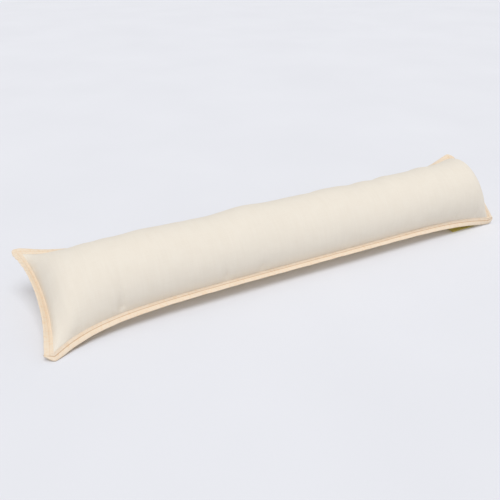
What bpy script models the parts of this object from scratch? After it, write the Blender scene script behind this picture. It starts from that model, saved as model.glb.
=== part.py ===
"""A draught excluder: a long stuffed cushion with a bound edge, for the foot of a door.

It lies on its round belly, rolled towards its front (-Y) until the front corners of its
flat edge touch the floor. X runs along it, Y from front to back, and Z is up. Lengths are
in metres, and the origin is the middle of the footprint.
"""

import math
from collections import namedtuple

import bpy
from mathutils import Vector

# The casing laid flat: two panels, with a folded band sewn over their four raw edges.
FLAT_LENGTH = 0.900
FLAT_WIDTH = 0.221
BAND_WIDTH = 0.014
BAND_THICK = 0.0026
SEAM_THICK = 0.0010
SEAM_HALF_LENGTH = FLAT_LENGTH / 2 - BAND_WIDTH
PANEL_WIDTH = FLAT_WIDTH - 2 * BAND_WIDTH
SEWN_GAP = 0.0003
LONG_BAND_ROOT = 0.0008
END_BAND_ROOT = 0.0004
CORNER_GAP = 0.0009

# How far each long band's outer corner is cut back, on the front and the back one, and the
# power of that curve: 2 is round, and 1 is a straight cut.
Corner = namedtuple("Corner", "front back power")
LEFT_CORNER = Corner(0.0139, 0.004, 1.15)
RIGHT_CORNER = Corner(0.010, 0.0139, 1.6)

# How it lies: the line of the belly, which puts the footprint's middle at the origin, how
# far the belly is pressed flat, the roll, and how the long bands turn from their seams.
BELLY_Y = -0.0036
BELLY_PRESS = 0.0111
FLOOR_SOFTNESS = 0.002
ROLL_MIDDLE = math.radians(25.8)
FRONT_BAND_DROP = math.radians(10.3)
BACK_BAND_DROP = math.radians(63.9)

# Fill: a panel's cross-section is an arc of this half angle, which falls to flat at an end.
FILL_ANGLE = 1.495
END_SPREAD = 3.06
DRAW_SPREAD = 8
HANG_SPREAD = 4

# roll: of the end's edge. gather: its width against the flat panel's. back and lift: how
# far it has moved. draw and arch: how far its middle is pulled in and up by the filling.
# power and fullness: how late and how steeply the crown falls to the edge. seam_power: how
# late the long seams spread out to the corners. skew: how much more the end is drawn in
# towards the back. curl: how far the end's own band turns up from the seams' plane in its
# middle. hang: how far the front band turns down at the corner. back_power: how late the
# back band turns up to the corner.
End = namedtuple(
    "End", "roll gather back lift draw arch power fullness seam_power skew curl hang back_power"
)
LEFT_END = End(
    roll=math.radians(18.8),
    gather=1.053,
    back=0.0020,
    lift=0.0036,
    draw=0.0115,
    arch=0.0004,
    power=11.6,
    fullness=0.70,
    seam_power=7.74,
    skew=0,
    curl=math.radians(36.2),
    hang=math.radians(23.5),
    back_power=3,
)
RIGHT_END = End(
    roll=math.radians(34.1),
    gather=0.770,
    back=-0.0019,
    lift=0.0070,
    draw=0.0235,
    arch=0.0283,
    power=8.11,
    fullness=0.359,
    seam_power=6.10,
    skew=0.3,
    curl=math.radians(-15.1),
    hang=math.radians(47.0),
    back_power=10,
)
SEAM_FULLNESS = 0.56

# Soft lumps of filling. q is -1 at the front seam and 1 at the back one.
Lump = namedtuple("Lump", "x q length width height")
LUMPS = (
    Lump(-0.425, -0.50, 0.010, 0.4, -0.0025),
    Lump(-0.402, -0.80, 0.012, 0.3, 0.0020),
    Lump(-0.375, 0.45, 0.020, 0.8, -0.0012),
    Lump(-0.335, 0.45, 0.032, 0.8, 0.0016),
    Lump(-0.260, 0.45, 0.024, 0.7, 0.0016),
    Lump(-0.150, 0.40, 0.032, 0.8, -0.0022),
    Lump(-0.074, 0.40, 0.030, 0.8, 0.0026),
    Lump(0.010, -0.30, 0.040, 0.6, -0.0012),
    Lump(0.095, 0.40, 0.028, 0.7, 0.0015),
    Lump(0.152, 0.40, 0.014, 0.6, -0.0020),
    Lump(0.206, 0.40, 0.014, 0.6, -0.0022),
    Lump(0.236, 0.40, 0.018, 0.6, 0.0016),
    Lump(0.300, -0.20, 0.035, 0.7, 0.0012),
    Lump(0.318, 0.40, 0.014, 0.6, 0.0022),
    Lump(0.416, 0.40, 0.018, 0.5, 0.0050),
)

# Creases that run in from a seam: the panel (1 upper, -1 lower), the seam (-1 front, 1
# back), where they start, how far they lean along X, their reach over the panel, half
# width and depth.
Crease = namedtuple("Crease", "panel seam x lean reach width depth")
CREASES = (
    Crease(1, -1, -0.324, 0.007, 0.55, 0.0060, 0.0044),
    Crease(1, -1, -0.146, -0.002, 0.34, 0.0050, 0.0036),
    Crease(1, -1, -0.082, 0.005, 0.20, 0.0050, 0.0036),
    Crease(1, -1, 0.350, 0.004, 0.16, 0.0050, 0.0038),
    Crease(1, -1, 0.400, 0.008, 0.16, 0.0050, 0.0038),
    Crease(1, 1, -0.345, 0.020, 0.50, 0.012, 0.0034),
    Crease(1, 1, -0.180, -0.010, 0.40, 0.011, 0.0026),
    Crease(1, 1, 0.060, 0.008, 0.45, 0.011, 0.0030),
    Crease(1, 1, 0.250, -0.012, 0.40, 0.011, 0.0026),
    Crease(-1, -1, -0.230, 0.010, 0.35, 0.011, 0.0028),
    Crease(-1, -1, 0.140, -0.008, 0.35, 0.011, 0.0026),
    Crease(-1, 1, -0.270, 0.010, 0.55, 0.012, 0.0032),
    Crease(-1, 1, 0.020, -0.012, 0.50, 0.011, 0.0028),
    Crease(-1, 1, 0.310, 0.010, 0.55, 0.012, 0.0032),
)

# The label sewn under the front seam, near the right end: how far below the seam it starts,
# how far back it sags, and how far behind the band's fold its own front edge stays.
LABEL_X = 0.379
LABEL_LENGTH = 0.058
LABEL_THICK = 0.001
LABEL_DROP = 0.003
LABEL_SAG = 0.022
LABEL_BEHIND = 0.0055

BODY_STATIONS = 96
PANEL_STEPS = 16
LONG_BAND_STATIONS = 84
END_BAND_STATIONS = 18
BAND_STEPS = 4
LABEL_STATIONS = 8
LABEL_STEPS = 8

Section = namedtuple("Section", "roll y z half_width rise")


def end_share(p, left, middle, right):
    """A setting that is the middle's along most of the cushion and becomes an end's own."""
    own = right if p > 0 else left
    return middle + (own - middle) * abs(p) ** END_SPREAD


def edge_height(end):
    """The height of the middle of an end's flat edge, whose front corner is on the floor."""
    reach = PANEL_WIDTH / 2 * end.gather + BAND_WIDTH
    return reach * math.sin(end.roll) + end.lift


def fill_angle(p, power, fullness):
    """The half angle of a panel's arc at p, which is almost nothing at a flat end."""
    return max(FILL_ANGLE * (1 - abs(p) ** power) ** fullness, 0.001)


def section(p):
    """The cross-section at p, which runs from -1 at the left seam to 1 at the right one."""
    end = RIGHT_END if p > 0 else LEFT_END
    fill = fill_angle(p, end.power, end.fullness)
    spread_fill = fill_angle(p, end.seam_power, SEAM_FULLNESS)
    gather = end_share(p, LEFT_END.gather, 1, RIGHT_END.gather)
    belly = PANEL_WIDTH / 2 / FILL_ANGLE - BELLY_PRESS
    return Section(
        roll=end_share(p, LEFT_END.roll, ROLL_MIDDLE, RIGHT_END.roll),
        y=BELLY_Y + end_share(p, LEFT_END.back, 0, RIGHT_END.back),
        z=end_share(p, edge_height(LEFT_END), belly, edge_height(RIGHT_END)),
        half_width=PANEL_WIDTH / 2 * math.sin(spread_fill) / spread_fill * gather,
        rise=PANEL_WIDTH / 2 * (1 - math.cos(fill)) / fill,
    )


def place(sec, x, across, out):
    """The point at x, so far across the section's flat edge plane and so far out of it."""
    cos, sin = math.cos(sec.roll), math.sin(sec.roll)
    return Vector((x, sec.y + across * cos - out * sin, sec.z + across * sin + out * cos))


def on_floor(height):
    """A height that eases into the floor, and is exactly 0 where the cushion is pressed on it."""
    if height >= FLOOR_SOFTNESS:
        return height
    if height <= -FLOOR_SOFTNESS:
        return 0.0
    return (height + FLOOR_SOFTNESS) ** 2 / (4 * FLOOR_SOFTNESS)


def relief(x, q, panel):
    """How far the panel stands out of its smooth arc there: lumps less creases."""
    height = 0.0
    for lump in LUMPS:
        reach = ((x - lump.x) / lump.length) ** 2 + ((q - lump.q) / lump.width) ** 2
        height += lump.height * math.exp(-reach)
    for crease in CREASES:
        inward = (1 - crease.seam * q) / (2 * crease.reach)
        if crease.panel != panel or inward >= 1:
            continue
        beside = (x - crease.x - crease.lean * inward) / crease.width
        fade = (1 - inward) ** 2 * min(inward / 0.08, 1)
        height -= crease.depth * math.exp(-beside * beside) * fade
    return height


def seam_fade(p, q):
    """1 on the filled panel and 0 at its seams, so that relief leaves the seams alone."""
    along = min((1 - abs(p)) / 0.06, 1)
    across = min((1 - abs(q)) / 0.12, 1)
    return max(along, 0) * max(across, 0)


def panel_point(p, q, panel):
    """A point of the upper (1) or lower (-1) panel. q is -1 at the front seam, 1 at the back."""
    sec = section(p)
    end = RIGHT_END if p > 0 else LEFT_END
    x = p * SEAM_HALF_LENGTH
    radius = (sec.half_width**2 + sec.rise**2) / (2 * sec.rise)
    angle = q * math.atan2(sec.half_width, radius - sec.rise)
    extra = relief(x, q, panel) * seam_fade(p, q)
    across = (radius + extra) * math.sin(angle)
    out = (radius + extra) * math.cos(angle) - (radius - sec.rise) + SEAM_THICK / 2
    drawn = (1 - q * q) * abs(p) ** DRAW_SPREAD
    x -= math.copysign(end.draw * (1 + end.skew * q) * drawn, p)
    point = place(sec, x, across, panel * out + end.arch * drawn)
    point.z = on_floor(point.z)
    return point


def spread(count, ease):
    """count + 1 values from -1 to 1, closer together near both ends as ease nears 1."""
    values = []
    for i in range(count + 1):
        t = 2 * i / count - 1
        values.append((1 - ease) * t + ease * math.sin(t * math.pi / 2))
    return values


def closed_grid(upper, lower):
    """The points and faces of a solid between two grids, whose rims are joined by walls."""
    rows, columns = len(upper), len(upper[0])
    points = [p for grid in (upper, lower) for row in grid for p in row]
    base = rows * columns

    def at(i, j, under):
        return base * under + i * columns + j

    faces = []
    for i in range(rows - 1):
        for j in range(columns - 1):
            faces.append((at(i, j, 0), at(i + 1, j, 0), at(i + 1, j + 1, 0), at(i, j + 1, 0)))
            faces.append((at(i, j, 1), at(i, j + 1, 1), at(i + 1, j + 1, 1), at(i + 1, j, 1)))
    rim = [(i, 0) for i in range(rows - 1)]
    rim += [(rows - 1, j) for j in range(columns - 1)]
    rim += [(i, columns - 1) for i in range(rows - 1, 0, -1)]
    rim += [(0, j) for j in range(columns - 1, 0, -1)]
    for k, (i, j) in enumerate(rim):
        m, n = rim[(k + 1) % len(rim)]
        faces.append((at(m, n, 0), at(i, j, 0), at(i, j, 1), at(m, n, 1)))
    return points, faces


def thickened(grid, thick, thin_edge=None):
    """The upper and lower grids of a sheet of that thickness about its middle surface.

    thin_edge, if given, is the share of the thickness at each column, as at a folded edge.
    """
    rows, columns = len(grid), len(grid[0])
    upper, lower = [], []
    for i in range(rows):
        upper.append([])
        lower.append([])
        for j in range(columns):
            along = grid[min(i + 1, rows - 1)][j] - grid[max(i - 1, 0)][j]
            across = grid[i][min(j + 1, columns - 1)] - grid[i][max(j - 1, 0)]
            share = thin_edge[j] if thin_edge else 1
            step = along.cross(across).normalized() * (thick / 2 * share)
            upper[-1].append(grid[i][j] + step)
            under = grid[i][j] - step
            under.z = max(under.z, 0)
            lower[-1].append(under)
    return upper, lower


def make_object(name, points, faces, material):
    """A named object from points and faces, shaded smooth up to its folded edges."""
    mesh = bpy.data.meshes.new(name)
    mesh.from_pydata([tuple(p) for p in points], [], faces)
    mesh.validate()
    mesh.shade_smooth()
    mesh.set_sharp_from_angle(angle=math.radians(50))
    mesh.materials.append(material)
    obj = bpy.data.objects.new(name, mesh)
    bpy.context.scene.collection.objects.link(obj)
    return obj


def cloth(name, colour, roughness):
    """A plain cloth material."""
    material = bpy.data.materials.new(name)
    material.use_nodes = True
    shader = material.node_tree.nodes["Principled BSDF"]
    shader.inputs["Base Color"].default_value = (*colour, 1)
    shader.inputs["Roughness"].default_value = roughness
    shader.inputs["Metallic"].default_value = 0
    return material


def make_body(material):
    """The filled casing: both panels, from seam to seam, as one solid."""
    stations = spread(BODY_STATIONS, 0.75)
    steps = spread(PANEL_STEPS, 0.3)
    upper = [[panel_point(p, q, 1) for q in steps] for p in stations]
    lower = [[panel_point(p, q, -1) for q in steps] for p in stations]
    return make_object("body", *closed_grid(upper, lower), material)


def band_turn(p, side):
    """How far a long band turns out of the seams' plane at its fold, as seen from the left."""
    end = RIGHT_END if p > 0 else LEFT_END
    if side > 0:
        return -BACK_BAND_DROP * (1 - abs(p) ** end.back_power)
    middle = 1 - abs(p) ** END_SPREAD
    return end.hang * abs(p) ** HANG_SPREAD - FRONT_BAND_DROP * middle


def long_band_point(x, out, side):
    """A point of the front (-1) or back (1) band, so far out from the seam."""
    p = max(-1, min(1, x / SEAM_HALF_LENGTH))
    sec = section(p)
    seam = place(sec, x, side * sec.half_width, 0)
    bend = (1 + out / BAND_WIDTH) / 2
    angle = sec.roll + band_turn(p, side) * bend
    seam.y += side * out * math.cos(angle)
    seam.z += side * out * math.sin(angle)
    seam.z = on_floor(seam.z - BAND_THICK / 2) + BAND_THICK / 2
    return seam


def end_band_point(q, out, side):
    """A point of the left (-1) or right (1) end's band, so far out from the seam."""
    sec = section(side)
    end = RIGHT_END if side > 0 else LEFT_END
    turn = end.curl * (1 - q**4) * (1 + out / BAND_WIDTH) / 2
    drawn = 1 - q * q
    x = side * (SEAM_HALF_LENGTH + out * math.cos(turn) - end.draw * (1 + end.skew * q) * drawn)
    rise = end.arch * drawn + out * math.sin(turn)
    point = place(sec, x, q * (sec.half_width - CORNER_GAP), rise)
    point.z = on_floor(point.z - BAND_THICK / 2) + BAND_THICK / 2
    return point


def corner_reach(x, side):
    """How far a long band reaches out from its seam, less at its cut-back corners."""
    corner = RIGHT_CORNER if x > 0 else LEFT_CORNER
    cut = corner.back if side > 0 else corner.front
    past = max((abs(x) - FLAT_LENGTH / 2) / cut + 1, 0)
    return BAND_WIDTH - cut + cut * max(1 - past**corner.power, 0) ** (1 / corner.power)


def band_solid(name, grid, flip, material):
    """A band from its middle surface, pressed by its sewing and thin at its outer fold."""
    fold = [0.6] + [1.0] * (BAND_STEPS - 2) + [0.85, 0.4]
    if flip:
        grid = grid[::-1]
    return make_object(name, *closed_grid(*thickened(grid, BAND_THICK, fold)), material)


def band_offsets(root, reach):
    """The distances out from the seam of a band's points, the last two near its fold."""
    reach = max(reach, root + BAND_THICK)
    width = reach - BAND_THICK / 2 - root
    return [root + width * j / (BAND_STEPS - 1) for j in range(BAND_STEPS)] + [reach]


def make_long_band(name, side, material):
    """The band along the front or back edge, which runs past both ends' bands."""
    grid = []
    for t in spread(LONG_BAND_STATIONS, 0.85):
        x = t * FLAT_LENGTH / 2
        offsets = band_offsets(LONG_BAND_ROOT, corner_reach(x, side))
        grid.append([long_band_point(x, out, side) for out in offsets])
    return band_solid(name, grid, side < 0, material)


def make_end_band(name, side, material):
    """The band along one end, between the two long bands."""
    offsets = band_offsets(END_BAND_ROOT, BAND_WIDTH)
    steps = spread(END_BAND_STATIONS, 0)
    grid = [[end_band_point(q, out, side) for out in offsets] for q in steps]
    return band_solid(name, grid, side > 0, material)


def make_label(material):
    """A plain label that hangs from under the front seam and lies forward on the floor."""
    floor = LABEL_THICK / 2 + SEWN_GAP
    grid = []
    for i in range(LABEL_STATIONS + 1):
        x = LABEL_X + LABEL_LENGTH * (i / LABEL_STATIONS - 0.5)
        root = long_band_point(x, 0, -1) - Vector((0, 0, LABEL_DROP))
        fold = long_band_point(x, BAND_WIDTH, -1)
        end = Vector((x, fold.y + LABEL_BEHIND, floor))
        bend = Vector((x, root.y + LABEL_SAG, floor))
        row = []
        for j in range(LABEL_STEPS + 1):
            t = j / LABEL_STEPS
            row.append(root * (1 - t) ** 2 + bend * (2 * t * (1 - t)) + end * t**2)
        grid.append(row)
    return make_object("label", *closed_grid(*thickened(grid[::-1], LABEL_THICK)), material)


def main():
    for obj in list(bpy.data.objects):
        bpy.data.objects.remove(obj)
    calico = cloth("calico", (0.84, 0.79, 0.70), 0.9)
    binding = cloth("binding", (0.90, 0.76, 0.59), 0.85)
    ribbon = cloth("ribbon", (0.55, 0.46, 0.10), 0.8)
    make_body(calico)
    make_long_band("band_front", -1, binding)
    make_long_band("band_back", 1, binding)
    make_end_band("band_left", -1, binding)
    make_end_band("band_right", 1, binding)
    make_label(ribbon)


main()
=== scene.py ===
"""The finished look of the draught excluder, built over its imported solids.

The casing, its binding, the stitching and the label are made here again, finer than the
solids that they stand for and in the same place. Lengths are in metres. X runs along the
cushion, Y from its front to its back, and Z is up.
"""

import math
import random
from collections import namedtuple

import bpy
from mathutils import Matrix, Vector, noise


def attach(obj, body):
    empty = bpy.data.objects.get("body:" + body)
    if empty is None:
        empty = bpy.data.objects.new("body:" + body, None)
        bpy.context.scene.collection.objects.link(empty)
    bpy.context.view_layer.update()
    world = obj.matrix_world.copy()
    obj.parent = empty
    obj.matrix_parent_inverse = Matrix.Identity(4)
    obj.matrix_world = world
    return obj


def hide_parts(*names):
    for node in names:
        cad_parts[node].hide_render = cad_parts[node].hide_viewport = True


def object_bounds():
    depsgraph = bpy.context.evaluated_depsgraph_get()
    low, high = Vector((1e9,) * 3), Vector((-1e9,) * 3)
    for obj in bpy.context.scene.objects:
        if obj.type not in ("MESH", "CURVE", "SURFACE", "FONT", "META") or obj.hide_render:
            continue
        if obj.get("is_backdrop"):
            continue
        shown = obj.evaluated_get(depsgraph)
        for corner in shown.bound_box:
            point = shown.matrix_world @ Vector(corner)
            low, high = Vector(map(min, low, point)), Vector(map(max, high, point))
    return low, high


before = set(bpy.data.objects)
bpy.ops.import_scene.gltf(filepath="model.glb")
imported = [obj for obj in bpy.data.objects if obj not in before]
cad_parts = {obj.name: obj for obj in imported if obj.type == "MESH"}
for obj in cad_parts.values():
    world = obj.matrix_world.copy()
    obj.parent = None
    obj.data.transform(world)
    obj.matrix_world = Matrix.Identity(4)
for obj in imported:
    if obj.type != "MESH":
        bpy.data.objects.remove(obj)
CAD_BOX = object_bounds()

# The casing laid flat: two panels, with a folded band sewn over their four raw edges.
FLAT_LENGTH = 0.900
FLAT_WIDTH = 0.221
BAND_WIDTH = 0.014
BAND_THICK = 0.0026
SEAM_THICK = 0.0010
SEAM_HALF_LENGTH = FLAT_LENGTH / 2 - BAND_WIDTH
PANEL_WIDTH = FLAT_WIDTH - 2 * BAND_WIDTH

# How far each long strip's outer corner is cut back, on the front and the back one, and the
# power of that curve: 2 is round, and 1 is a straight cut.
Corner = namedtuple("Corner", "front back power")
LEFT_CORNER = Corner(0.0139, 0.004, 1.15)
RIGHT_CORNER = Corner(0.010, 0.0139, 1.6)

# How it lies: the line of the belly, how far that is pressed flat, the roll, and how the
# long bands turn from their seams.
BELLY_Y = -0.0036
BELLY_PRESS = 0.0111
FLOOR_SOFTNESS = 0.002
ROLL_MIDDLE = math.radians(25.8)
FRONT_BAND_DROP = math.radians(10.3)
BACK_BAND_DROP = math.radians(63.9)

# Fill: a panel's cross-section is an arc of this half angle, which falls to flat at an end.
FILL_ANGLE = 1.495
END_SPREAD = 3.06
DRAW_SPREAD = 8
HANG_SPREAD = 4
SEAM_FULLNESS = 0.56

# roll: of the end's edge. gather: its width against the flat panel's. back and lift: how
# far it has moved. draw and arch: how far its middle is pulled in and up by the filling.
# power and fullness: how late and how steeply the crown falls to the edge. seam_power: how
# late the long seams spread out to the corners. skew: how much more the end is drawn in
# towards the back. curl: how far the end's own band turns up from the seams' plane in its
# middle. hang: how far the front band turns down at the corner. back_power: how late the
# back band turns up to the corner.
End = namedtuple(
    "End", "roll gather back lift draw arch power fullness seam_power skew curl hang back_power"
)
LEFT_END = End(
    roll=math.radians(18.8),
    gather=1.053,
    back=0.0020,
    lift=0.0036,
    draw=0.0115,
    arch=0.0004,
    power=11.6,
    fullness=0.70,
    seam_power=7.74,
    skew=0,
    curl=math.radians(36.2),
    hang=math.radians(23.5),
    back_power=3,
)
RIGHT_END = End(
    roll=math.radians(34.1),
    gather=0.770,
    back=-0.0019,
    lift=0.0070,
    draw=0.0235,
    arch=0.0283,
    power=8.11,
    fullness=0.359,
    seam_power=6.10,
    skew=0.3,
    curl=math.radians(-15.1),
    hang=math.radians(47.0),
    back_power=10,
)

# Soft lumps of filling. q is -1 at the front seam and 1 at the back one.
Lump = namedtuple("Lump", "x q length width height")
LUMPS = (
    Lump(-0.425, -0.50, 0.010, 0.4, -0.0025),
    Lump(-0.402, -0.80, 0.012, 0.3, 0.0020),
    Lump(-0.375, 0.45, 0.020, 0.8, -0.0012),
    Lump(-0.335, 0.45, 0.032, 0.8, 0.0016),
    Lump(-0.260, 0.45, 0.024, 0.7, 0.0016),
    Lump(-0.150, 0.40, 0.032, 0.8, -0.0022),
    Lump(-0.074, 0.40, 0.030, 0.8, 0.0026),
    Lump(0.010, -0.30, 0.040, 0.6, -0.0012),
    Lump(0.095, 0.40, 0.028, 0.7, 0.0015),
    Lump(0.152, 0.40, 0.014, 0.6, -0.0020),
    Lump(0.206, 0.40, 0.014, 0.6, -0.0022),
    Lump(0.236, 0.40, 0.018, 0.6, 0.0016),
    Lump(0.300, -0.20, 0.035, 0.7, 0.0012),
    Lump(0.318, 0.40, 0.014, 0.6, 0.0022),
    Lump(0.416, 0.40, 0.018, 0.5, 0.0050),
)

# Creases that run in from a seam: the panel (1 upper, -1 lower), the seam (-1 front, 1
# back), where they start, how far they lean along X, their reach over the panel, half
# width and depth.
Crease = namedtuple("Crease", "panel seam x lean reach width depth")
CREASES = (
    Crease(1, -1, -0.324, 0.007, 0.55, 0.0060, 0.0044),
    Crease(1, -1, -0.146, -0.002, 0.34, 0.0050, 0.0036),
    Crease(1, -1, -0.082, 0.005, 0.20, 0.0050, 0.0036),
    Crease(1, -1, 0.350, 0.004, 0.16, 0.0050, 0.0038),
    Crease(1, -1, 0.400, 0.008, 0.16, 0.0050, 0.0038),
    Crease(1, 1, -0.345, 0.020, 0.50, 0.012, 0.0034),
    Crease(1, 1, -0.180, -0.010, 0.40, 0.011, 0.0026),
    Crease(1, 1, 0.060, 0.008, 0.45, 0.011, 0.0030),
    Crease(1, 1, 0.250, -0.012, 0.40, 0.011, 0.0026),
    Crease(-1, -1, -0.230, 0.010, 0.35, 0.011, 0.0028),
    Crease(-1, -1, 0.140, -0.008, 0.35, 0.011, 0.0026),
    Crease(-1, 1, -0.270, 0.010, 0.55, 0.012, 0.0032),
    Crease(-1, 1, 0.020, -0.012, 0.50, 0.011, 0.0028),
    Crease(-1, 1, 0.310, 0.010, 0.55, 0.012, 0.0032),
)

# The label sewn under the front seam, near the right end: how far below the seam it starts,
# how far back it sags, how far behind the band's fold its own front edge stays, its
# clearance over the floor, and how far its right corner lifts.
LABEL_X = 0.379
LABEL_LENGTH = 0.058
LABEL_DEPTH = 0.032
LABEL_THICK = 0.0007
LABEL_DROP = 0.003
LABEL_SAG = 0.022
LABEL_BEHIND = 0.0055
LABEL_CLEAR = 0.0004
LABEL_CURL = 0.0008

# How far apart the strips lie on the flat tape, how far out the painted shade on their sewn
# part reaches, how far short of that and past it that shade fades, and the width of the painted
# shade line along its edge.
STRIP_SPACING = 0.1
PAINTED_SHADE_TO = 0.0060
FADE_BEFORE = 0.0006
FADE_PAST = 0.0004
PAINTED_SHADE_LINE = 0.0008

# The binding's stitching: how far out from the band's inner edge, its stitches and thread,
# how far a stitch's middle is from the band's, and how far that row stops short of the ends.
STITCH_INSET = 0.0023
STITCH_LENGTH = 0.0026
STITCH_PITCH = 0.0033
THREAD_WIDTH = 0.00055
STITCH_LIFT = 0.00076
STITCH_MARGIN = 0.001

# How far off the points are that a direction on a band is taken from.
NEARBY = 0.001

# Where the strips start, just inside the casing's edge, how far the end ones run into the
# long ones, how much thicker the long ones are over them and over what length they become
# so, how long their rounded ends are, and how far they reach out at the least.
LONG_ROOT = -0.0003
END_ROOT = -0.0006
TUCK = 0.0030
CORNER_SWELL = 1.3
SWELL_LENGTH = 0.002
CORNER_ROUND = 0.0012
LEAST_REACH = 0.0004

# How far the strips' folds sway up and down, and how uneven their widths are. The left end
# strip's gathered part is more uneven, and has small waves of this height and length.
LONG_SWAY = 0.0006
END_SWAY = 0.0009
LONG_RAGGED = 0.00035
END_RAGGED = 0.0004
GATHERED_RAGGED = 0.0010
SCALLOP_HEIGHT = 0.0013
SCALLOP_LENGTH = 0.0105

# The cloth's own unevenness over the filling: broad, finer, and in crinkles that run across
# the cushion.
BROAD_UNEVEN = 0.00045
FINE_UNEVEN = 0.00016
CRINKLE = 0.00020

# Meshes.
BODY_STATIONS = 520
PANEL_STEPS = 72
LONG_BAND_STATIONS = 480
END_BAND_STATIONS = 150
LABEL_STATIONS = 28
LABEL_STEPS = 24
STITCH_RINGS = 5
STITCH_SIDES = 6

Section = namedtuple("Section", "roll y z half_width rise")


def end_share(p, left, middle, right):
    """A setting that is the middle's along most of the cushion and becomes an end's own."""
    own = right if p > 0 else left
    return middle + (own - middle) * abs(p) ** END_SPREAD


def edge_height(end):
    """The height of the middle of an end's flat edge, whose front corner is on the floor."""
    reach = PANEL_WIDTH / 2 * end.gather + BAND_WIDTH
    return reach * math.sin(end.roll) + end.lift


def fill_angle(p, power, fullness):
    """The half angle of a panel's arc at p, which is almost nothing at a flat end."""
    return max(FILL_ANGLE * (1 - abs(p) ** power) ** fullness, 0.001)


def section(p):
    """The cross-section at p, which runs from -1 at the left seam to 1 at the right one."""
    end = RIGHT_END if p > 0 else LEFT_END
    fill = fill_angle(p, end.power, end.fullness)
    spread_fill = fill_angle(p, end.seam_power, SEAM_FULLNESS)
    gather = end_share(p, LEFT_END.gather, 1, RIGHT_END.gather)
    belly = PANEL_WIDTH / 2 / FILL_ANGLE - BELLY_PRESS
    return Section(
        roll=end_share(p, LEFT_END.roll, ROLL_MIDDLE, RIGHT_END.roll),
        y=BELLY_Y + end_share(p, LEFT_END.back, 0, RIGHT_END.back),
        z=end_share(p, edge_height(LEFT_END), belly, edge_height(RIGHT_END)),
        half_width=PANEL_WIDTH / 2 * math.sin(spread_fill) / spread_fill * gather,
        rise=PANEL_WIDTH / 2 * (1 - math.cos(fill)) / fill,
    )


def place(sec, x, across, out):
    """The point at x, so far across the section's flat edge plane and so far out of it."""
    cos, sin = math.cos(sec.roll), math.sin(sec.roll)
    return Vector((x, sec.y + across * cos - out * sin, sec.z + across * sin + out * cos))


def on_floor(height):
    """A height that eases into the floor, and is exactly 0 where the cushion is pressed on it."""
    if height >= FLOOR_SOFTNESS:
        return height
    if height <= -FLOOR_SOFTNESS:
        return 0.0
    return (height + FLOOR_SOFTNESS) ** 2 / (4 * FLOOR_SOFTNESS)


def relief(x, q, panel, creases):
    """How far the panel stands out of its smooth arc there: lumps less creases."""
    height = 0.0
    for lump in LUMPS:
        reach = ((x - lump.x) / lump.length) ** 2 + ((q - lump.q) / lump.width) ** 2
        if reach < 12:
            height += lump.height * math.exp(-reach)
    for crease in creases:
        inward = (1 - crease.seam * q) / (2 * crease.reach)
        if crease.panel != panel or inward >= 1:
            continue
        beside = (x - crease.x - crease.lean * inward) / crease.width
        if abs(beside) > 3:
            continue
        fade = (1 - inward) ** 2 * min(inward / 0.08, 1)
        height -= crease.depth * math.exp(-beside * beside) * fade
    return height


def seam_fade(p, q):
    """1 on the filled panel and 0 at its seams, so that relief leaves the seams alone."""
    along = min((1 - abs(p)) / 0.06, 1)
    across = min((1 - abs(q)) / 0.12, 1)
    return max(along, 0) * max(across, 0)


# Puckers that run in from an end's seam: the panel, the end (-1 left, 1 right), where along
# it, their reach, half width and depth.
EndPucker = namedtuple("EndPucker", "panel side q reach width depth")

# The least and the most of the puckers' sizes, and of the way from one to the next, along the
# long seams and then the end ones. PUCKERED_TO: how far the long seams' ones go from the
# middle.
Puckering = namedtuple("Puckering", "reach width depth spacing")
LONG_PUCKERING = Puckering(
    reach=(0.05, 0.12), width=(0.0022, 0.0042), depth=(0.0003, 0.0008), spacing=(0.012, 0.034)
)
END_PUCKERING = Puckering(
    reach=(0.012, 0.034), width=(0.035, 0.06), depth=(0.0006, 0.0016), spacing=(0.11, 0.24)
)
PUCKERED_TO = 0.42


def seam_puckers():
    """Small puckers that the stitching draws in along both long seams, closer near the ends."""
    draw = random.Random(5)
    puckers = []
    for panel in (1, -1):
        for seam in (-1, 1):
            x = -PUCKERED_TO
            while x < PUCKERED_TO:
                near_end = abs(x) / PUCKERED_TO
                depth = draw.uniform(*LONG_PUCKERING.depth) * (0.7 + 0.9 * near_end**4)
                reach = draw.uniform(*LONG_PUCKERING.reach)
                width = draw.uniform(*LONG_PUCKERING.width)
                lean = draw.uniform(-0.003, 0.003)
                puckers.append(Crease(panel, seam, x, lean, reach, width, depth))
                x += draw.uniform(*LONG_PUCKERING.spacing) * (1.2 - 0.5 * near_end)
    return puckers


def far_left(q, side):
    """1 near the back of the left end, where the sewing gathers the strip, and 0 elsewhere."""
    return min(max((q - 0.35) / 0.3, 0), 1) if side < 0 else 0


def end_puckers():
    """Small puckers that run in from both end seams, where the casing is drawn together."""
    draw = random.Random(11)
    puckers = []
    for panel in (1, -1):
        for side in (-1, 1):
            q = -0.86
            while q < 0.9:
                reach = draw.uniform(*END_PUCKERING.reach)
                depth = draw.uniform(*END_PUCKERING.depth) * (1 + far_left(q, side))
                width = draw.uniform(*END_PUCKERING.width)
                puckers.append(EndPucker(panel, side, q, reach, width, depth))
                q += draw.uniform(*END_PUCKERING.spacing)
    return puckers


END_PUCKERS = end_puckers()
ALL_CREASES = list(CREASES) + seam_puckers()


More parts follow.
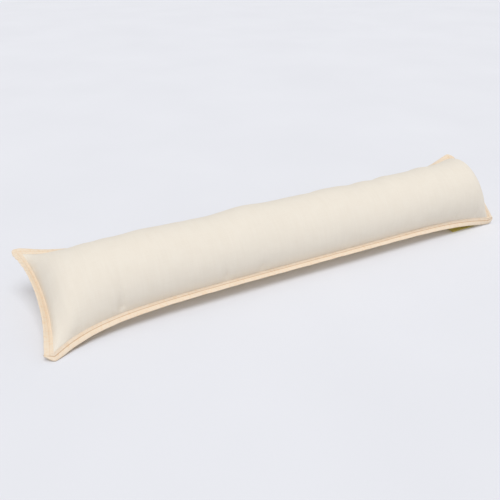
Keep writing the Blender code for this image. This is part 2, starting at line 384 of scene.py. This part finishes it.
def fine_relief(x, q, panel):
    """The cloth's own unevenness over the filling, and the puckers along the end seams."""
    spot = Vector((x * 22, q * 2.1, 3.0 * panel))
    crinkle = Vector((x * 125, q * 2.6, 7.0 * panel))
    height = BROAD_UNEVEN * noise.noise(spot) + FINE_UNEVEN * noise.noise(spot * 2.7)
    height += CRINKLE * noise.noise(crinkle)
    inward = SEAM_HALF_LENGTH - abs(x)
    for pucker in END_PUCKERS:
        if pucker.panel != panel or pucker.side * x < 0 or inward >= pucker.reach:
            continue
        along = inward / pucker.reach
        beside = (q - pucker.q * (1 - 0.15 * along)) / pucker.width
        if abs(beside) < 3:
            fade = (1 - along) ** 2 * min(along / 0.1, 1)
            height -= pucker.depth * math.exp(-beside * beside) * fade
    return height


def panel_point(p, q, panel):
    """A point of the upper (1) or lower (-1) panel. q is -1 at the front seam, 1 at the back."""
    sec = section(p)
    end = RIGHT_END if p > 0 else LEFT_END
    x = p * SEAM_HALF_LENGTH
    radius = (sec.half_width**2 + sec.rise**2) / (2 * sec.rise)
    angle = q * math.atan2(sec.half_width, radius - sec.rise)
    near_seam = min((1 - abs(q)) / 0.04, 1) * min((1 - abs(p)) / 0.006, 1)
    smooth = relief(x, q, panel, CREASES) * seam_fade(p, q)
    fine = relief(x, q, panel, ALL_CREASES) - relief(x, q, panel, CREASES)
    extra = smooth + (fine + fine_relief(x, q, panel)) * max(near_seam, 0)
    across = (radius + extra) * math.sin(angle)
    out = (radius + extra) * math.cos(angle) - (radius - sec.rise) + SEAM_THICK / 2
    drawn = (1 - q * q) * abs(p) ** DRAW_SPREAD
    x -= math.copysign(end.draw * (1 + end.skew * q) * drawn, p)
    point = place(sec, x, across, panel * out + end.arch * drawn)
    point.z = on_floor(point.z)
    return point


def spread(count, ease):
    """count + 1 values from -1 to 1, closer together near both ends as ease nears 1."""
    values = []
    for i in range(count + 1):
        t = 2 * i / count - 1
        values.append((1 - ease) * t + ease * math.sin(t * math.pi / 2))
    return values


def new_object(name, points, faces, spots, material):
    """A smooth mesh object. spots are each point's place on the flat cloth, for its weave."""
    mesh = bpy.data.meshes.new(name)
    mesh.from_pydata([tuple(p) for p in points], [], faces)
    mesh.materials.append(material)
    weave = mesh.uv_layers.new(name="cloth")
    for loop in mesh.loops:
        weave.uv[loop.index].vector = spots[loop.vertex_index]
    mesh.validate()
    mesh.shade_smooth()
    obj = bpy.data.objects.new(name, mesh)
    bpy.context.scene.collection.objects.link(obj)
    return obj


def closed_grid(upper, lower):
    """The points and faces of a solid between two grids, whose rims are joined by walls."""
    rows, columns = len(upper), len(upper[0])
    points = [p for grid in (upper, lower) for row in grid for p in row]
    base = rows * columns

    def at(i, j, under):
        return base * under + i * columns + j

    faces = []
    for i in range(rows - 1):
        for j in range(columns - 1):
            faces.append((at(i, j, 0), at(i + 1, j, 0), at(i + 1, j + 1, 0), at(i, j + 1, 0)))
            faces.append((at(i, j, 1), at(i, j + 1, 1), at(i + 1, j + 1, 1), at(i + 1, j, 1)))
    rim = [(i, 0) for i in range(rows - 1)]
    rim += [(rows - 1, j) for j in range(columns - 1)]
    rim += [(i, columns - 1) for i in range(rows - 1, 0, -1)]
    rim += [(0, j) for j in range(columns - 1, 0, -1)]
    for k, (i, j) in enumerate(rim):
        m, n = rim[(k + 1) % len(rim)]
        faces.append((at(m, n, 0), at(i, j, 0), at(i, j, 1), at(m, n, 1)))
    return points, faces


def make_casing(material):
    """The filled casing: both panels from seam to seam, as one closed form."""
    stations = spread(BODY_STATIONS, 0.6)
    steps = spread(PANEL_STEPS, 0.2)
    upper = [[panel_point(p, q, 1) for q in steps] for p in stations]
    lower = [[panel_point(p, q, -1) for q in steps] for p in stations]
    points, faces = closed_grid(upper, lower)
    spots = []
    for shift in (0, PANEL_WIDTH):
        for p in stations:
            for q in steps:
                spots.append((p * SEAM_HALF_LENGTH, shift + q * PANEL_WIDTH / 2))
    return new_object("casing", points, faces, spots, material)


# A band's cross-section: shares of the way from its inner edge to its fold, and the half
# thickness there. The dip is where the stitching holds it.
BAND_PROFILE = (
    (0.000, 0.00025),
    (0.012, 0.00065),
    (0.045, 0.00092),
    (0.090, 0.00098),
    (0.130, 0.00084),
    (0.160, 0.00066),
    (0.190, 0.00064),
    (0.230, 0.00082),
    (0.300, 0.00106),
    (0.400, 0.00122),
    (0.520, 0.00130),
    (0.650, 0.00130),
    (0.770, 0.00126),
    (0.870, 0.00116),
    (0.930, 0.00098),
    (0.970, 0.00070),
    (0.992, 0.00036),
    (1.000, 0.00008),
)


def band_turn(p, side):
    """How far a long band turns out of the seams' plane at its fold, as seen from the left."""
    end = RIGHT_END if p > 0 else LEFT_END
    if side > 0:
        return -BACK_BAND_DROP * (1 - abs(p) ** end.back_power)
    middle = 1 - abs(p) ** END_SPREAD
    return end.hang * abs(p) ** HANG_SPREAD - FRONT_BAND_DROP * middle


def long_band_point(x, out, side):
    """A point of the front (-1) or back (1) band's middle, so far out from the seam."""
    p = max(-1, min(1, x / SEAM_HALF_LENGTH))
    sec = section(p)
    seam = place(sec, x, side * sec.half_width, 0)
    bend = (1 + out / BAND_WIDTH) / 2
    angle = sec.roll + band_turn(p, side) * bend
    seam.y += side * out * math.cos(angle)
    seam.z += side * out * math.sin(angle)
    sway = LONG_SWAY * noise.noise(Vector((x * 38, side * 4.0, 0)))
    seam.z += sway * max(out, 0) / BAND_WIDTH
    seam.z = on_floor(seam.z - BAND_THICK / 2) + BAND_THICK / 2
    return seam


def end_band_point(across, out, side):
    """A point of the left (-1) or right (1) end's band's middle, so far out from the seam."""
    sec = section(side)
    end = RIGHT_END if side > 0 else LEFT_END
    q = max(-1, min(1, across / sec.half_width))
    turn = end.curl * (1 - q**4) * (1 + out / BAND_WIDTH) / 2
    drawn = 1 - q * q
    x = side * (SEAM_HALF_LENGTH + out * math.cos(turn) - end.draw * (1 + end.skew * q) * drawn)
    rise = end.arch * drawn + out * math.sin(turn)
    point = place(sec, x, across, rise)
    sway = END_SWAY * noise.noise(Vector((across * 75, side * 9.0, 1.5)))
    scallop = SCALLOP_HEIGHT * math.sin(across * math.tau / SCALLOP_LENGTH) * far_left(q, side)
    point.z += (sway + scallop) * max(out, 0) / BAND_WIDTH * (1 - q**8)
    point.z = on_floor(point.z - BAND_THICK / 2) + BAND_THICK / 2
    return point


def corner_reach(x, side):
    """How far a long strip reaches out from its seam, less at its cut-back corners."""
    corner = RIGHT_CORNER if x > 0 else LEFT_CORNER
    cut = corner.back if side > 0 else corner.front
    past = max((abs(x) - FLAT_LENGTH / 2) / cut + 1, 0)
    return BAND_WIDTH - cut + cut * max(1 - past**corner.power, 0) ** (1 / corner.power)


def band_mesh(name, middles, swells, flip, lay, material):
    """A band from its middle lines: rows of points, one for each share of BAND_PROFILE.

    swells are each row's thickness against the profile's. lay gives a point's place on the
    flat tape.
    """
    rows, columns = len(middles), len(BAND_PROFILE)
    points, spots = [], []
    for i in range(rows):
        ring_top, ring_under = [], []
        for j in range(columns):
            along = middles[min(i + 1, rows - 1)][j] - middles[max(i - 1, 0)][j]
            across = middles[i][min(j + 1, columns - 1)] - middles[i][max(j - 1, 0)]
            normal = along.cross(across).normalized() * (-1 if flip else 1)
            step = normal * (BAND_PROFILE[j][1] * swells[i])
            ring_top.append(middles[i][j] + step)
            ring_under.append(middles[i][j] - step)
        ring = ring_top + ring_under[::-1]
        for k, point in enumerate(ring):
            point.z = max(point.z, 0)
            points.append(point)
            column = k if k < columns else 2 * columns - 1 - k
            spots.append(lay(i, BAND_PROFILE[column][0] * BAND_WIDTH, k < columns))
    count = 2 * columns
    faces = []
    for i in range(rows - 1):
        for k in range(count):
            m = (k + 1) % count
            quad = (i * count + k, i * count + m, (i + 1) * count + m, (i + 1) * count + k)
            faces.append(quad if flip else quad[::-1])
    first = tuple(range(count))
    last = tuple(range((rows - 1) * count, rows * count))
    faces.append(first[::-1] if flip else first)
    faces.append(last if flip else last[::-1])
    return new_object(name, points, faces, spots, material)


def long_band_swell(x):
    """A long strip's thickness against its profile's: more over an end strip, 0 at its end."""
    over = min(max((abs(x) - SEAM_HALF_LENGTH) / SWELL_LENGTH + 1, 0), 1)
    past = max((abs(x) - FLAT_LENGTH / 2) / CORNER_ROUND + 1, 0)
    return (1 + (CORNER_SWELL - 1) * over) * math.sqrt(max(1 - past * past, 0.001))


def make_long_band(name, side, material):
    """The strip along the front or back edge, which is folded over the ends of both others."""
    stations = [t * FLAT_LENGTH / 2 for t in spread(LONG_BAND_STATIONS, 0.9)]
    middles = []
    for x in stations:
        ragged = LONG_RAGGED * noise.noise(Vector((x * 60, side * 2.0, 7.0)))
        width = max(corner_reach(x, side) + ragged, LEAST_REACH) - LONG_ROOT
        outs = [LONG_ROOT + width * share for share, _ in BAND_PROFILE]
        middles.append([long_band_point(x, out, side) for out in outs])
    swells = [long_band_swell(x) for x in stations]

    def lay(i, out, top):
        return (stations[i], 3 * side * STRIP_SPACING + (out if top else -out))

    return band_mesh(name, middles, swells, side > 0, lay, material)


def make_end_band(name, side, material):
    """The strip over an end's edge, whose own ends lie inside the long strips."""
    half = section(side).half_width + TUCK
    stations = [t * half for t in spread(END_BAND_STATIONS, 0.2)]
    middles = []
    for across in stations:
        most_ragged = END_RAGGED + GATHERED_RAGGED * far_left(across / half, side)
        ragged = most_ragged * noise.noise(Vector((across * 130, side * 5.0, 5.3)))
        width = BAND_WIDTH - CORNER_ROUND / 2 + ragged - END_ROOT
        outs = [END_ROOT + width * share for share, _ in BAND_PROFILE]
        middles.append([end_band_point(across, out, side) for out in outs])

    def lay(i, out, top):
        return (stations[i], 5 * side * STRIP_SPACING + (out if top else -out))

    return band_mesh(name, middles, [1.0] * len(middles), side < 0, lay, material)


def label_point(along, down):
    """A point of the label's middle, so far along it and down it from the seam, as shares."""
    x = LABEL_X + LABEL_LENGTH * (along - 0.5)
    root = long_band_point(x, 0, -1) - Vector((0, 0, LABEL_DROP))
    fold = long_band_point(x, BAND_WIDTH, -1)
    height = LABEL_THICK / 2 + LABEL_CLEAR
    end = Vector((x, fold.y + LABEL_BEHIND, height + LABEL_CURL * along**2))
    bend = Vector((x, root.y + LABEL_SAG, height))
    return root * (1 - down) ** 2 + bend * (2 * down * (1 - down)) + end * down**2


def make_label(material):
    """A plain label that hangs from under the front seam and lies forward on the floor."""
    middle = []
    for i in range(LABEL_STATIONS + 1):
        share = i / LABEL_STATIONS
        middle.append([label_point(share, j / LABEL_STEPS) for j in range(LABEL_STEPS + 1)])
    upper, lower, spots = [], [], []
    for i in range(LABEL_STATIONS + 1):
        upper.append([])
        lower.append([])
        for j in range(LABEL_STEPS + 1):
            along = middle[min(i + 1, LABEL_STATIONS)][j] - middle[max(i - 1, 0)][j]
            across = middle[i][min(j + 1, LABEL_STEPS)] - middle[i][max(j - 1, 0)]
            step = across.cross(along).normalized() * (LABEL_THICK / 2)
            upper[-1].append(middle[i][j] + step)
            lower[-1].append(middle[i][j] - step)
            spots.append((i / LABEL_STATIONS * LABEL_LENGTH, j / LABEL_STEPS * LABEL_DEPTH))
    points, faces = closed_grid(upper, lower)
    return new_object("label_ribbon", points, faces, spots * 2, material)


def stitch_bead(points, faces, centre, along, up):
    """One stitch: a short thread that dips into the cloth at both ends."""
    across = along.cross(up).normalized()
    base = len(points)
    for i in range(STITCH_RINGS):
        t = i / (STITCH_RINGS - 1) * 2 - 1
        bulge = math.sqrt(max(1 - abs(t) ** 3, 0.02))
        middle = centre + along * (t * STITCH_LENGTH / 2) - up * (THREAD_WIDTH * 0.35 * t * t)
        for k in range(STITCH_SIDES):
            angle = k / STITCH_SIDES * math.tau
            offset = across * math.cos(angle) + up * (math.sin(angle) * 0.8)
            points.append(middle + offset * (THREAD_WIDTH / 2 * bulge))
    for i in range(STITCH_RINGS - 1):
        first = base + i * STITCH_SIDES
        second = first + STITCH_SIDES
        for k in range(STITCH_SIDES):
            m = (k + 1) % STITCH_SIDES
            faces.append((first + k, second + k, second + m, first + m))
    faces.append(tuple(base + k for k in range(STITCH_SIDES)))
    last = base + (STITCH_RINGS - 1) * STITCH_SIDES
    faces.append(tuple(last + k for k in reversed(range(STITCH_SIDES))))


def stitch_row(points, faces, path, root, flip):
    """Stitches along a band, on both its faces.

    path is the row's length and a function that gives a point of the band's middle, so far
    along it and so far out from the seam.
    """
    length, line = path
    count = int(length / STITCH_PITCH)
    out = root + STITCH_INSET
    for i in range(count):
        s = -length / 2 + (i + 0.5) * length / count
        centre = line(s, out)
        along = (line(s + NEARBY, out) - line(s - NEARBY, out)).normalized()
        outward = line(s, out + NEARBY) - centre
        up = along.cross(outward).normalized() * (-1 if flip else 1)
        for face in (1, -1):
            stitch_bead(points, faces, centre + up * (STITCH_LIFT * face), along, up * face)


def make_stitching(material):
    """The topstitching of the four strips, as one piece."""
    points, faces = [], []
    for side in (-1, 1):
        length = 2 * (SEAM_HALF_LENGTH - STITCH_MARGIN)
        row = (length, lambda s, out, side=side: long_band_point(s, out, side))
        stitch_row(points, faces, row, LONG_ROOT, side > 0)
    for side in (-1, 1):
        length = 2 * (section(side).half_width - STITCH_MARGIN)
        row = (length, lambda s, out, side=side: end_band_point(s, out, side))
        stitch_row(points, faces, row, END_ROOT, side < 0)
    spots = [(p.x, p.y) for p in points]
    return new_object("stitching", points, faces, spots, material)


def fresh_material(name):
    """A new node material, its node tree and its shader."""
    material = bpy.data.materials.new(name)
    material.use_nodes = True
    tree = material.node_tree
    return material, tree, tree.nodes["Principled BSDF"]


def node(tree, kind, **values):
    """A new node, with these inputs and settings."""
    made = tree.nodes.new(kind)
    for key, value in values.items():
        if hasattr(made, key):
            setattr(made, key, value)
        else:
            made.inputs[key].default_value = value
    return made


def cloth_place(tree):
    """Each point's place on the flat cloth, in metres."""
    return node(tree, "ShaderNodeUVMap", uv_map="cloth").outputs["UV"]


def maths(tree, operation, first, second=None):
    """The output of a maths node on sockets or numbers."""
    made = node(tree, "ShaderNodeMath", operation=operation)
    for socket, value in zip(made.inputs, (first, second)):
        if value is None:
            continue
        if isinstance(value, (int, float)):
            socket.default_value = value
        else:
            tree.links.new(value, socket)
    return made.outputs[0]


def noise_at(tree, place_of, scale, stretch=(1, 1, 1), detail=3.0):
    """Noise over the cloth, stretched along its length or width."""
    shaped = node(tree, "ShaderNodeMapping")
    shaped.inputs["Scale"].default_value = stretch
    tree.links.new(place_of, shaped.inputs["Vector"])
    made = node(tree, "ShaderNodeTexNoise")
    made.inputs["Scale"].default_value = scale
    made.inputs["Detail"].default_value = detail
    tree.links.new(shaped.outputs["Vector"], made.inputs["Vector"])
    return made.outputs["Fac"]


def plain_weave(tree, place_of, pitch):
    """The height of a plain weave, at most 1: yarns that pass over and under in turn."""
    parts = node(tree, "ShaderNodeSeparateXYZ")
    tree.links.new(place_of, parts.inputs[0])
    along = maths(tree, "MULTIPLY", parts.outputs["X"], math.pi / pitch)
    across = maths(tree, "MULTIPLY", parts.outputs["Y"], math.pi / pitch)
    weft = maths(tree, "ABSOLUTE", maths(tree, "SINE", along))
    warp = maths(tree, "ABSOLUTE", maths(tree, "SINE", across))
    sign = maths(tree, "MULTIPLY", maths(tree, "COSINE", along), maths(tree, "COSINE", across))
    over = maths(tree, "MULTIPLY", sign, 0.35)
    both = maths(tree, "MULTIPLY", maths(tree, "ADD", weft, warp), 0.5)
    return maths(tree, "ADD", both, over)


def mixed(tree, share, colours):
    """A colour between a light and a dark one, by a socket from 0 for the dark one to 1."""
    light, dark = colours
    made = node(tree, "ShaderNodeMix", data_type="RGBA")
    tree.links.new(share, made.inputs["Factor"])
    made.inputs[6].default_value = (*dark, 1)
    made.inputs[7].default_value = (*light, 1)
    return made.outputs[2]


def levels(tree, value, low, high):
    """A socket's value, stretched so that low becomes 0 and high 1, and kept between them."""
    made = node(tree, "ShaderNodeMapRange")
    made.inputs["From Min"].default_value = low
    made.inputs["From Max"].default_value = high
    tree.links.new(value, made.inputs["Value"])
    return made.outputs["Result"]


def raise_surface(tree, shader, height, distance, strength):
    """Bumps the shader's surface by a height socket, which raises it by distance at 1."""
    bump = node(tree, "ShaderNodeBump")
    bump.inputs["Distance"].default_value = distance
    bump.inputs["Strength"].default_value = strength
    tree.links.new(height, bump.inputs["Height"])
    tree.links.new(bump.outputs["Normal"], shader.inputs["Normal"])


# Colours, light and dark, and the tones that deepen the binding: where it is rubbed, then
# painted shade on the front strip's inner part and along its edge, and a fainter painted shade
# line on every strip.
CALICO_COLOURS = ((0.805, 0.750, 0.660), (0.778, 0.716, 0.622))
BINDING_COLOURS = ((0.825, 0.705, 0.565), (0.790, 0.665, 0.520))
RIBBON_COLOURS = ((0.74, 0.63, 0.16), (0.56, 0.47, 0.08))
FLOOR_COLOURS = ((0.720, 0.755, 0.830), (0.700, 0.735, 0.810))
RUBBED_TONE = (0.99, 0.93, 0.86)
# The next three tones are painted shade, not the binding's own colour.
FRONT_PAINTED_SHADE_TONE = (0.94, 0.94, 0.96)
FRONT_SHADE_LINE_TONE = (0.76, 0.66, 0.56)
SHADE_LINE_TONE = (0.96, 0.90, 0.85)

# The distance between the yarns of the weaves and between the ribbon's ribs, and how deep
# they are.
CALICO_PITCH = 0.00042
BINDING_PITCH = 0.00038
WEAVE_DEPTH = 0.00012
RIB_PITCH = 0.0009
RIB_DEPTH = 0.0001


def deepened(tree, share, colour, tone):
    """A colour multiplied by a tone, by a socket from 0 to 1."""
    made = node(tree, "ShaderNodeMix", data_type="RGBA", blend_type="MULTIPLY")
    tree.links.new(share, made.inputs["Factor"])
    tree.links.new(colour, made.inputs[6])
    made.inputs[7].default_value = (*tone, 1)
    return made.outputs[2]


def painted_shade_in_binding(tree, spot, colour):
    """The binding's colour, with painted shade on the front strip's inner part and in a line
    along its edge, and a fainter painted shade line on every strip.
    """
    parts = node(tree, "ShaderNodeSeparateXYZ")
    tree.links.new(spot, parts.inputs[0])
    front_out = maths(tree, "ABSOLUTE", maths(tree, "ADD", parts.outputs["Y"], 3 * STRIP_SPACING))
    # Painted shade over the front strip's inner part.
    painted_shade_part = levels(tree, front_out, PAINTED_SHADE_TO + FADE_PAST, PAINTED_SHADE_TO - FADE_BEFORE)
    colour = deepened(tree, painted_shade_part, colour, FRONT_PAINTED_SHADE_TONE)
    # A painted shade line along the edge of the front strip's inner part.
    from_line = maths(tree, "ABSOLUTE", maths(tree, "SUBTRACT", front_out, PAINTED_SHADE_TO))
    line = levels(tree, from_line, PAINTED_SHADE_LINE, PAINTED_SHADE_LINE / 3)
    colour = deepened(tree, line, colour, FRONT_SHADE_LINE_TONE)
    # A fainter painted shade line on every strip, at the same distance out.
    wrapped = node(tree, "ShaderNodeMath", operation="WRAP")
    wrapped.inputs[1].default_value = STRIP_SPACING / 2
    wrapped.inputs[2].default_value = -STRIP_SPACING / 2
    tree.links.new(parts.outputs["Y"], wrapped.inputs[0])
    any_out = maths(tree, "ABSOLUTE", wrapped.outputs[0])
    from_line = maths(tree, "ABSOLUTE", maths(tree, "SUBTRACT", any_out, PAINTED_SHADE_TO))
    line = levels(tree, from_line, 2 * PAINTED_SHADE_LINE, 0)
    return deepened(tree, line, colour, SHADE_LINE_TONE)


def cotton(name, colours, pitch, rubbed_and_painted_shade=False):
    """Cotton: a fine plain weave with thicker yarns here and there, faintly mottled.

    pitch is the distance between its yarns. The last argument is for the binding, which is
    darker where it is rubbed and has shade painted on its inner part and in lines.
    """
    material, tree, shader = fresh_material(name)
    spot = cloth_place(tree)
    weave = plain_weave(tree, spot, pitch)
    slub_along = noise_at(tree, spot, 900, (0.03, 1, 1), 2)
    slub_across = noise_at(tree, spot, 900, (1, 0.03, 1), 2)
    slubs = maths(tree, "MULTIPLY", maths(tree, "ADD", slub_along, slub_across), 0.5)
    mottle = noise_at(tree, spot, 38, (1, 1, 1), 4)
    streaks = noise_at(tree, spot, 170, (1, 0.12, 1), 3)
    broad = maths(tree, "MULTIPLY", maths(tree, "ADD", mottle, streaks), 0.25)
    tone = maths(tree, "ADD", maths(tree, "MULTIPLY", slubs, 0.5), broad)
    colour = mixed(tree, levels(tree, tone, 0.38, 0.62), colours)
    if rubbed_and_painted_shade:
        rubbed = levels(tree, noise_at(tree, spot, 240, (1, 0.5, 1), 3), 0.50, 0.66)
        colour = deepened(tree, rubbed, colour, RUBBED_TONE)
        # Painted shade on the binding's inner part and in lines.
        colour = painted_shade_in_binding(tree, spot, colour)
    tree.links.new(colour, shader.inputs["Base Color"])
    weave_part = maths(tree, "MULTIPLY", weave, 0.6)
    slub_part = maths(tree, "MULTIPLY", slubs, 0.9)
    height = maths(tree, "ADD", weave_part, slub_part)
    raise_surface(tree, shader, height, WEAVE_DEPTH, 0.6)
    shader.inputs["Roughness"].default_value = 0.92
    shader.inputs["Specular IOR Level"].default_value = 0.25
    shader.inputs["Sheen Weight"].default_value = 0.12
    shader.inputs["Sheen Roughness"].default_value = 0.45
    return material


def ribbon(name):
    """Olive satin ribbon with fine ribs across it."""
    material, tree, shader = fresh_material(name)
    spot = cloth_place(tree)
    parts = node(tree, "ShaderNodeSeparateXYZ")
    tree.links.new(spot, parts.inputs[0])
    ribs = maths(tree, "SINE", maths(tree, "MULTIPLY", parts.outputs["X"], math.tau / RIB_PITCH))
    mottle = noise_at(tree, spot, 400, (1, 0.1, 1), 2)
    colour = mixed(tree, levels(tree, mottle, 0.3, 0.7), RIBBON_COLOURS)
    tree.links.new(colour, shader.inputs["Base Color"])
    raise_surface(tree, shader, ribs, RIB_DEPTH, 0.6)
    shader.inputs["Roughness"].default_value = 0.55
    shader.inputs["Sheen Weight"].default_value = 0.2
    return material


FLOOR_HALF = 60
FLOOR_HEIGHT = -0.0004


def floor_material():
    """Plain pale paper, whose faint orange glow keeps the shadows on it light and warm."""
    material, tree, shader = fresh_material("floor")
    mottle = noise_at(tree, node(tree, "ShaderNodeTexCoord").outputs["Object"], 3, (1, 1, 1), 2)
    colour = mixed(tree, levels(tree, mottle, 0.3, 0.7), FLOOR_COLOURS)
    tree.links.new(colour, shader.inputs["Base Color"])
    shader.inputs["Roughness"].default_value = 0.9
    shader.inputs["Specular IOR Level"].default_value = 0.1
    shader.inputs["Emission Color"].default_value = (1.0, 0.55, 0.0, 1)
    shader.inputs["Emission Strength"].default_value = 0.06
    return material


def make_floor():
    """A wide plain floor, a hair under the cushion."""
    mesh = bpy.data.meshes.new("floor")
    signs = ((-1, -1), (1, -1), (1, 1), (-1, 1))
    corners = [(FLOOR_HALF * x, FLOOR_HALF * y, FLOOR_HEIGHT) for x, y in signs]
    mesh.from_pydata(corners, [], [(0, 1, 2, 3)])
    mesh.materials.append(floor_material())
    floor = bpy.data.objects.new("floor", mesh)
    bpy.context.scene.collection.objects.link(floor)
    floor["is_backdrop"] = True


def sun_light(name, towards, angle, strength, colour):
    """A soft light from far off, in a direction given from the cushion to the light."""
    light = bpy.data.lights.new(name, "SUN")
    light.angle = angle
    light.energy = strength
    light.color = colour
    obj = bpy.data.objects.new(name, light)
    obj.rotation_euler = Vector(towards).to_track_quat("Z", "Y").to_euler()
    bpy.context.scene.collection.objects.link(obj)


def light_scene():
    """A wide soft light from overhead, and a faint low one in front, in a pale room."""
    world = bpy.data.worlds.new("room")
    world.use_nodes = True
    sky = world.node_tree.nodes["Background"]
    sky.inputs["Color"].default_value = (0.97, 0.98, 1.0, 1)
    sky.inputs["Strength"].default_value = 0.54
    bpy.context.scene.world = world
    sun_light(
        "key",
        towards=(-0.10, -0.28, 1.0),
        angle=math.radians(40),
        strength=1.70,
        colour=(1.0, 0.99, 0.975),
    )
    sun_light(
        "front",
        towards=(0.0, -1.0, 0.22),
        angle=math.radians(70),
        strength=0.28,
        colour=(1.0, 0.96, 0.90),
    )
    bpy.context.scene.view_settings.view_transform = "Standard"


# The photograph's camera.
CAMERA_PLACE = (-0.5091, -0.8411, 0.5529)
CAMERA_PITCH = 0.4999
CAMERA_YAW = 0.4805
CAMERA_LENS = 44.136


def make_camera():
    """The camera at the photograph's angle."""
    data = bpy.data.cameras.new("camera")
    data.sensor_width = 36
    data.lens = CAMERA_LENS
    camera = bpy.data.objects.new("camera", data)
    camera.location = CAMERA_PLACE
    camera.rotation_euler = (math.pi / 2 - CAMERA_PITCH, 0, -CAMERA_YAW)
    bpy.context.scene.collection.objects.link(camera)
    bpy.context.scene.camera = camera


def write_size(before, after):
    """Makes a text of the CAD box and the visual model's box, which nothing keeps."""
    str([list(corner) for box in (before, after) for corner in box])


def main():
    calico = cotton("calico", CALICO_COLOURS, CALICO_PITCH)
    binding = cotton("binding", BINDING_COLOURS, BINDING_PITCH, rubbed_and_painted_shade=True)
    olive = ribbon("ribbon")
    casing = make_casing(calico)
    pieces = [(casing, "calico", "body")]
    pieces.append((make_long_band("front_strip", -1, binding), "binding", "band_front"))
    pieces.append((make_long_band("back_strip", 1, binding), "binding", "band_back"))
    pieces.append((make_end_band("left_strip", -1, binding), "binding", "band_left"))
    pieces.append((make_end_band("right_strip", 1, binding), "binding", "band_right"))
    pieces.append((make_stitching(binding), "binding", None))
    label = make_label(olive)
    pieces.append((label, "ribbon", "label"))
    for obj, slot, cad_node in pieces:
        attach(obj, "root")
        if cad_node:
            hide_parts(cad_node)
    make_floor()
    light_scene()
    make_camera()
    write_size(CAD_BOX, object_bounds())


main()
